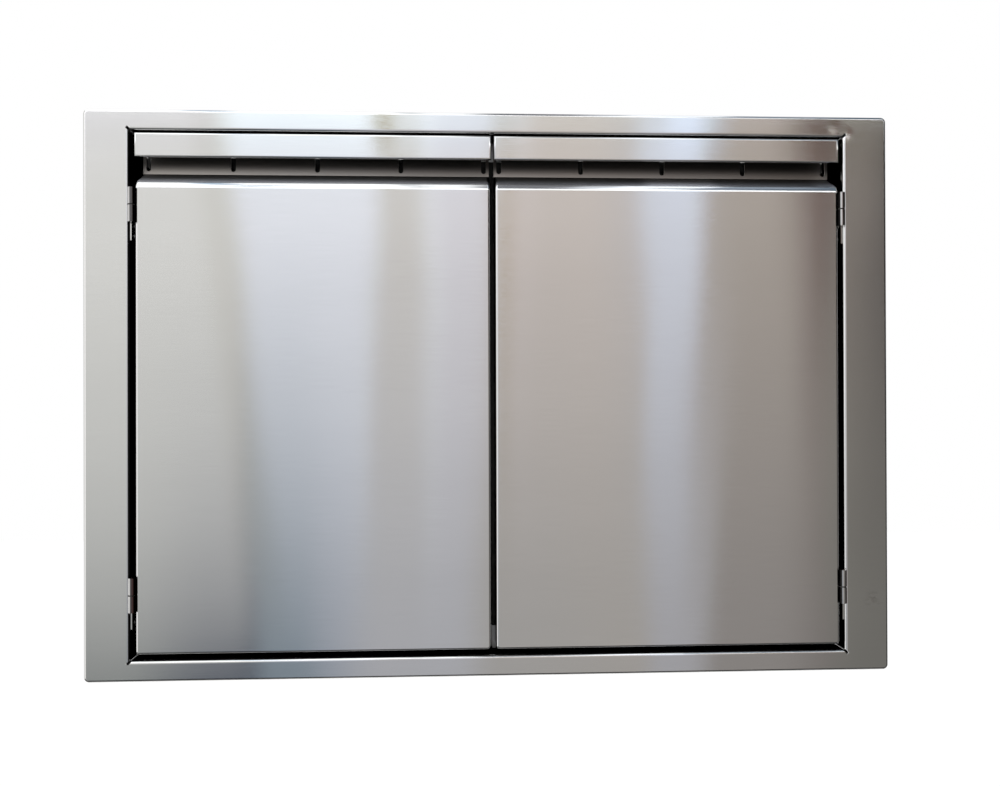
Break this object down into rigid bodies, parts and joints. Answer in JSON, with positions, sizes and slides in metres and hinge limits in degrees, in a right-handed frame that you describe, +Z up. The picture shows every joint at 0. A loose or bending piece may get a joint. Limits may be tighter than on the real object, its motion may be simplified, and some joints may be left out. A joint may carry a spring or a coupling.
{
  "type": "double access door",
  "caption": "Flush double access door for an outdoor kitchen: stainless face frame with sleeve, two vented doors with recessed handle strips, lift-off hinges and a magnetic catch.",
  "frame": {"origin": "middle of the opening, in the plane of the island's wall that the face frame rests on", "axes": "+X right, +Y into the island, +Z up; seen from the front the viewer looks along +Y"},
  "size_m": [0.762, 0.0854, 0.5334],
  "materials": {
    "brushed_face": "horizontal brushed grain, the visible sheet",
    "mill_steel": "dull mill finish, inside sheet and brackets",
    "hinge_steel": "satin, stamped and rolled",
    "bright_steel": "bright turned",
    "rivet_steel": "smooth, slightly dull",
    "nickel_plate": "nickel plated",
    "bumper_rubber": "matt black"
  },
  "bodies": {
    "frame": {"catch_bracket": "mill_steel", "catch_bracket_rivets": "rivet_steel", "catch_magnet_left": "nickel_plate", "catch_magnet_right": "nickel_plate", "corner_angle_lower_left": "mill_steel", "corner_angle_lower_right": "mill_steel", "corner_angle_rivets": "rivet_steel", "corner_angle_upper_left": "mill_steel", "corner_angle_upper_right": "mill_steel", "face_frame": "brushed_face", "frame_hinge_rivets": "rivet_steel", "frame_leaf_lower_left": "hinge_steel", "frame_leaf_lower_right": "hinge_steel", "frame_leaf_upper_left": "hinge_steel", "frame_leaf_upper_right": "hinge_steel", "hinge_pin_lower_left": "bright_steel", "hinge_pin_lower_right": "bright_steel", "hinge_pin_upper_left": "bright_steel", "hinge_pin_upper_right": "bright_steel", "hinge_washer_lower_left": "bright_steel", "hinge_washer_lower_right": "bright_steel", "hinge_washer_upper_left": "bright_steel", "hinge_washer_upper_right": "bright_steel", "magnet_nuts": "bright_steel", "magnet_screws": "bright_steel", "stop_bracket": "mill_steel", "stop_bracket_rivets": "rivet_steel", "stop_bumper_left": "bumper_rubber", "stop_bumper_right": "bumper_rubber"},
    "left_door": {"door_skin_left": "brushed_face", "door_liner_left": "mill_steel", "handle_channel_left": "brushed_face", "door_stiffener_left": "mill_steel", "strike_plate_left": "mill_steel", "door_hinge_rivets_left": "rivet_steel", "handle_rivets_left": "rivet_steel", "strike_rivets_left": "rivet_steel", "door_leaf_upper_left": "hinge_steel", "door_leaf_lower_left": "hinge_steel"},
    "right_door": {"door_skin_right": "brushed_face", "door_liner_right": "mill_steel", "handle_channel_right": "brushed_face", "door_stiffener_right": "mill_steel", "strike_plate_right": "mill_steel", "door_hinge_rivets_right": "rivet_steel", "handle_rivets_right": "rivet_steel", "strike_rivets_right": "rivet_steel", "door_leaf_upper_right": "hinge_steel", "door_leaf_lower_right": "hinge_steel"}
  },
  "joints": [
    {"name": "left_door_swing", "type": "hinge", "parent": "frame", "child": "left_door", "pos_m": [-0.3356, -0.0118, 0], "axis": [0, 0, -1], "range_deg": [0, 180]},
    {"name": "right_door_swing", "type": "hinge", "parent": "frame", "child": "right_door", "pos_m": [0.3356, -0.0118, 0], "axis": [0, 0, 1], "range_deg": [0, 180]}
  ]
}
